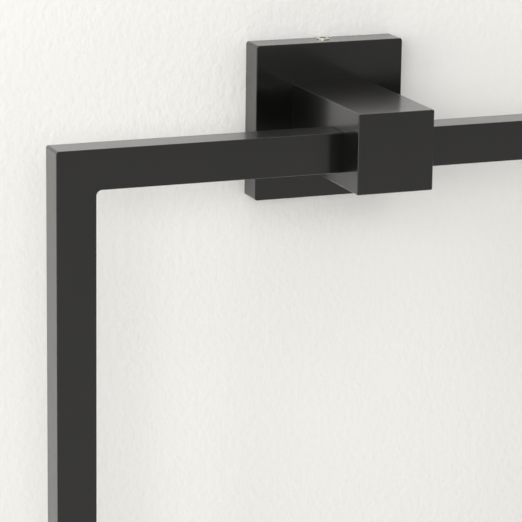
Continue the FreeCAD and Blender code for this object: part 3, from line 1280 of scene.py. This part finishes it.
@dataclass(frozen=True)
class Studio:
    """The wall, the floor, the lamps and the room's own light.

    Attributes:
        wall_half: half the wall's width and height.
        hidden: how far inside the cover's outline the wall's opening for the bracket lies.
        behind: how far the wall's surface lies behind the cover's back.
        floor_drop: the floor's depth below the ring's lowest point.
        floor_half: half the floor's width and depth.
        room_light: strength of the light from all round, up to room_top.
        room_top: degrees above level where that strength starts to change.
        ceiling_light: strength of the light from ceiling_foot upwards.
        ceiling_foot: degrees above level where that strength is reached.
        room_tone: tone of the light from the room and the ceiling.
        backdrop: tone that shows where there is no wall or floor.
    """

    wall_half: float = 0.6
    hidden: float = 0.5 * MM
    behind: float = 0.02 * MM
    floor_drop: float = 1.0
    floor_half: float = 5.0
    room_light: float = 0.7
    room_top: float = 20.0
    ceiling_light: float = 0.5
    ceiling_foot: float = 50.0
    room_tone: Colour = (1.0, 1.0, 1.0)
    backdrop: Colour = (0.61, 0.595, 0.57)
    lamps: tuple[SoftLamp, ...] = (
        SoftLamp("window", -71, 14, 2.4, 1.35, 2.6, 31.0, (1.0, 0.99, 0.96)),
        SoftLamp("front_window", -28, 17, 1.7, 1.2, 0.6, 9.6, (1.0, 0.99, 0.96)),
        SoftLamp("skylight", -32, 64, 1.6, 1.5, 1.0, 3.6, (1.0, 0.99, 0.96)),
        SoftLamp("low_fill", 18, -24, 1.3, 1.3, 0.8, 0.9, (1.0, 0.98, 0.94)),
    )
    wall_paint: OneSidedPaint = OneSidedPaint(
        name="wall_paint",
        dark=(0.852, 0.847, 0.827),
        light=(0.866, 0.861, 0.841),
        patch=60 * MM,
        grain=2.3 * MM,
        relief=0.2 * MM,
        stretch=(1.0, 1.0, 0.85),
        octaves=1.5,
    )
    floor_paint: OneSidedPaint = OneSidedPaint(
        name="floor_paint",
        dark=(0.8, 0.79, 0.765),
        light=(0.825, 0.815, 0.79),
        patch=300 * MM,
        grain=3 * MM,
        relief=0.04 * MM,
    )

    def build(self, effects: Effects) -> None:
        """Set up the stage and its light.

        Args:
            effects: the shared node groups.
        """
        self._build_wall(effects)
        self._build_floor(effects)
        self._light_room()
        low, high = CAD_BOX
        for lamp in self.lamps:
            lamp.hang((low + high) / 2)
            LOG.info("lamp %s: %.0f W", lamp.name, lamp.power)

    def _stand(self, name: str, bm: bmesh.types.BMesh, material: bpy.types.Material) -> None:
        """Make a mesh a piece of the stage.

        Args:
            name: the piece's name.
            bm: the mesh in its place, which is freed here.
            material: the material of its whole surface.
        """
        mesh = bpy.data.meshes.new(name)
        bm.to_mesh(mesh)
        bm.free()
        mesh.materials.append(material)
        piece = bpy.data.objects.new(name, mesh)
        bpy.context.scene.collection.objects.link(piece)
        LOG.info("stage: %s", name)

    def _build_wall(self, effects: Effects) -> None:
        """Build the wall: a sheet just behind the cover's back, open behind its hollow.

        Args:
            effects: the shared node groups.
        """
        low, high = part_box("cover_plate")
        opening = (high.x - low.x) / 2 - self.hidden
        bm = bmesh.new()
        bmesh.ops.create_grid(bm, x_segments=1, y_segments=1, size=self.wall_half)
        margin = self.wall_half - opening
        bmesh.ops.inset_region(
            bm, faces=bm.faces, thickness=margin, use_boundary=True, use_even_offset=True
        )
        middle = min(bm.faces, key=lambda face: face.calc_area())
        bmesh.ops.delete(bm, geom=[middle], context="FACES_ONLY")
        place = Matrix.Translation((0, self.behind, 0)) @ Matrix.Rotation(math.pi / 2, 4, "X")
        bmesh.ops.transform(bm, matrix=place, verts=bm.verts)
        self._stand("painted_wall", bm, self.wall_paint.material(effects))

    def _build_floor(self, effects: Effects) -> None:
        """Build the floor: a level sheet below the ring, in front of the wall.

        Args:
            effects: the shared node groups.
        """
        low, _ = CAD_BOX
        bm = bmesh.new()
        bmesh.ops.create_grid(bm, x_segments=1, y_segments=1, size=self.floor_half)
        bmesh.ops.translate(
            bm, verts=bm.verts, vec=(0, -self.floor_half, low.z - self.floor_drop)
        )
        self._stand("pale_floor", bm, self.floor_paint.material(effects))

    def _light_room(self) -> None:
        """Light the room from all round, with the backdrop's own tone to look at."""
        world = bpy.data.worlds.new("room")
        world.use_nodes = True
        bpy.context.scene.world = world
        sheet = NodeSheet(world.node_tree)
        light = sheet.add("ShaderNodeBackground")
        light.inputs["Color"].default_value = (*self.room_tone, 1)
        direction = sheet.add("ShaderNodeTexCoord").outputs["Generated"]
        height = sheet.add("ShaderNodeSeparateXYZ")
        strength = sheet.add("ShaderNodeMapRange")
        strength.inputs["From Min"].default_value = math.sin(math.radians(self.room_top))
        strength.inputs["From Max"].default_value = math.sin(math.radians(self.ceiling_foot))
        strength.inputs["To Min"].default_value = self.room_light
        strength.inputs["To Max"].default_value = self.ceiling_light
        sheet.join(direction, height.inputs["Vector"])
        sheet.join(height.outputs["Z"], strength.inputs["Value"])
        sheet.join(strength.outputs["Result"], light.inputs["Strength"])
        seen = sheet.add("ShaderNodeBackground")
        seen.inputs["Color"].default_value = (*self.backdrop, 1)
        path = sheet.add("ShaderNodeLightPath")
        camera_or_gloss = sheet.add("ShaderNodeMath", operation="MAXIMUM")
        any_view = sheet.add("ShaderNodeMath", operation="MAXIMUM")
        choice = sheet.add("ShaderNodeMixShader")
        output = sheet.add("ShaderNodeOutputWorld")
        sheet.join(path.outputs["Is Camera Ray"], camera_or_gloss.inputs[0])
        sheet.join(path.outputs["Is Glossy Ray"], camera_or_gloss.inputs[1])
        sheet.join(camera_or_gloss.outputs["Value"], any_view.inputs[0])
        sheet.join(path.outputs["Is Transmission Ray"], any_view.inputs[1])
        sheet.join(any_view.outputs["Value"], choice.inputs["Fac"])
        sheet.join(light.outputs["Background"], choice.inputs[1])
        sheet.join(seen.outputs["Background"], choice.inputs[2])
        sheet.join(choice.outputs["Shader"], output.inputs["Surface"])


@dataclass(frozen=True)
class ViewCamera:
    """The camera at the photograph's viewing angle, in front of the wall and to the left.

    Attributes:
        azimuth: degrees to the left of straight in front.
        elevation: degrees above level.
        roll: degrees that the camera is tilted about its own axis.
        distance: from the point it aims at, in metres.
        aim: the point it aims at.
        focal_share: focal length as a multiple of the picture's width.
        sensor: width of the sensor in millimetres.
        nearest: nothing nearer than this is drawn, in metres.
        farthest: nothing farther than this is drawn, in metres.
    """

    azimuth: float = 21.48
    elevation: float = 14.28
    roll: float = 0.79
    distance: float = 908.91 * MM
    aim: tuple[float, float, float] = (-18.2 * MM, 0.0, -45.6 * MM)
    focal_share: float = 5.5929
    sensor: float = 36.0
    nearest: float = 10 * MM
    farthest: float = 20.0

    def place(self) -> None:
        """Create the camera and make it the scene's own."""
        ahead = -out_from_wall(-self.azimuth, self.elevation)
        turn = ahead.to_track_quat("-Z", "Y").to_matrix().to_4x4()
        turn = turn @ Matrix.Rotation(math.radians(self.roll), 4, "Z")
        lens = bpy.data.cameras.new("view_camera")
        lens.sensor_width = self.sensor
        lens.lens = self.sensor * self.focal_share
        lens.clip_start = self.nearest
        lens.clip_end = self.farthest
        holder = bpy.data.objects.new("view_camera", lens)
        holder.matrix_world = Matrix.Translation(Vector(self.aim) - ahead * self.distance) @ turn
        bpy.context.scene.collection.objects.link(holder)
        bpy.context.scene.camera = holder


def main() -> None:
    """Dress the towel ring piece by piece, then set up the stage and the camera."""
    logging.basicConfig(level=logging.INFO, format="%(name)s: %(message)s")
    bpy.context.scene.view_settings.view_transform = "Standard"
    workshop = Workshop()
    cover_and_post = CoverAndPost()
    cover_and_post.build(workshop)
    HangingRing(cover_and_post).build(workshop)
    WallFixing().build(workshop)
    Studio().build(workshop.effects)
    ViewCamera().place()


if __name__ == "__main__":
    main()
